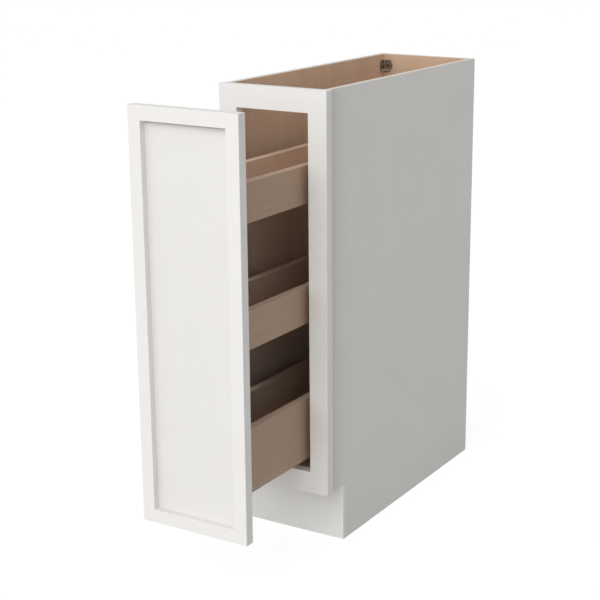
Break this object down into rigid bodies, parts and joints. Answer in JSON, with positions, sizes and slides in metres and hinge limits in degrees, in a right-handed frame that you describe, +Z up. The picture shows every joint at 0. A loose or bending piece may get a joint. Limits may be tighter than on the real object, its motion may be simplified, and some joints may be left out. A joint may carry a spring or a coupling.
{
  "type": "spice rack base cabinet",
  "caption": "Narrow face-frame base cabinet with a slim shaker door fixed to a pull-out rack of wooden spice trays that runs on hidden ball-bearing runners.",
  "frame": {"origin": "middle of the cabinet's back face at floor level, where the wall meets the floor", "axes": "+X to the right seen from the front, +Y into the wall, -Y out of the front, +Z up"},
  "size_m": [0.2286, 0.8771, 0.8763],
  "materials": {
    "painted_wood": "satin white paint",
    "painted_door": "satin white paint",
    "birch_plywood": "clear matt varnish",
    "birch_board": "clear matt varnish",
    "beech_dowel": "bare",
    "brown_plastic": "moulded",
    "bronze_screw": "browned",
    "zinc_steel": "zinc plated",
    "cage_steel": "stamped",
    "ball_steel": "polished",
    "screw_steel": "zinc plated",
    "clear_rubber": "soft clear"
  },
  "bodies": {
    "cabinet": {"left_side_panel": "painted_wood", "right_side_panel": "painted_wood", "toe_kick_board": "painted_wood", "frame_left_stile": "painted_wood", "frame_right_stile": "painted_wood", "frame_top_rail": "painted_wood", "frame_bottom_rail": "painted_wood", "back_panel": "birch_plywood", "cabinet_floor": "birch_plywood", "left_runner_cleat": "birch_plywood", "right_runner_cleat": "birch_plywood", "frame_dowels": "beech_dowel", "corner_bracket_back_left": "brown_plastic", "corner_bracket_back_right": "brown_plastic", "corner_bracket_front_left": "brown_plastic", "corner_bracket_front_right": "brown_plastic", "corner_bracket_screws": "bronze_screw", "left_outer_rail": "zinc_steel", "right_outer_rail": "zinc_steel", "runner_cleat_screws": "screw_steel", "outer_rail_screws": "screw_steel"},
    "middle_rails": {"left_middle_rail": "zinc_steel", "right_middle_rail": "zinc_steel"},
    "outer_cages": {"left_outer_ball_cage": "cage_steel", "right_outer_ball_cage": "cage_steel", "outer_runner_balls": "ball_steel"},
    "inner_cages": {"left_inner_ball_cage": "cage_steel", "right_inner_ball_cage": "cage_steel", "inner_runner_balls": "ball_steel"},
    "rack": {"door_left_stile": "painted_door", "door_right_stile": "painted_door", "door_top_rail": "painted_door", "door_bottom_rail": "painted_door", "door_panel": "painted_door", "door_bumpers": "clear_rubber", "rack_front_board": "birch_board", "rack_rear_board": "birch_board", "top_tray_left_side": "birch_board", "top_tray_right_side": "birch_board", "middle_tray_left_side": "birch_board", "middle_tray_right_side": "birch_board", "bottom_tray_left_side": "birch_board", "bottom_tray_right_side": "birch_board", "top_tray_floor": "birch_plywood", "middle_tray_floor": "birch_plywood", "bottom_tray_floor": "birch_plywood", "left_inner_rail": "zinc_steel", "right_inner_rail": "zinc_steel", "door_fixing_screws": "screw_steel", "rack_front_screws": "screw_steel", "rack_rear_screws": "screw_steel", "inner_rail_screws": "screw_steel"}
  },
  "joints": [
    {"name": "rack_pull", "type": "slide", "parent": "cabinet", "child": "rack", "axis": [0, -1, 0], "range_m": [-0.2465, 0.2535]},
    {"name": "middle_rail_slide", "type": "slide", "parent": "cabinet", "child": "middle_rails", "axis": [0, -1, 0], "range_m": [-0.12325, 0.12675]},
    {"name": "outer_cage_slide", "type": "slide", "parent": "cabinet", "child": "outer_cages", "axis": [0, -1, 0], "range_m": [-0.06162, 0.06338]},
    {"name": "inner_cage_slide", "type": "slide", "parent": "cabinet", "child": "inner_cages", "axis": [0, -1, 0], "range_m": [-0.18488, 0.19012]}
  ],
  "couplings": [
    {"joint": "middle_rail_slide", "follows": "rack_pull", "ratio": 0.5},
    {"joint": "outer_cage_slide", "follows": "rack_pull", "ratio": 0.25},
    {"joint": "inner_cage_slide", "follows": "rack_pull", "ratio": 0.75}
  ]
}
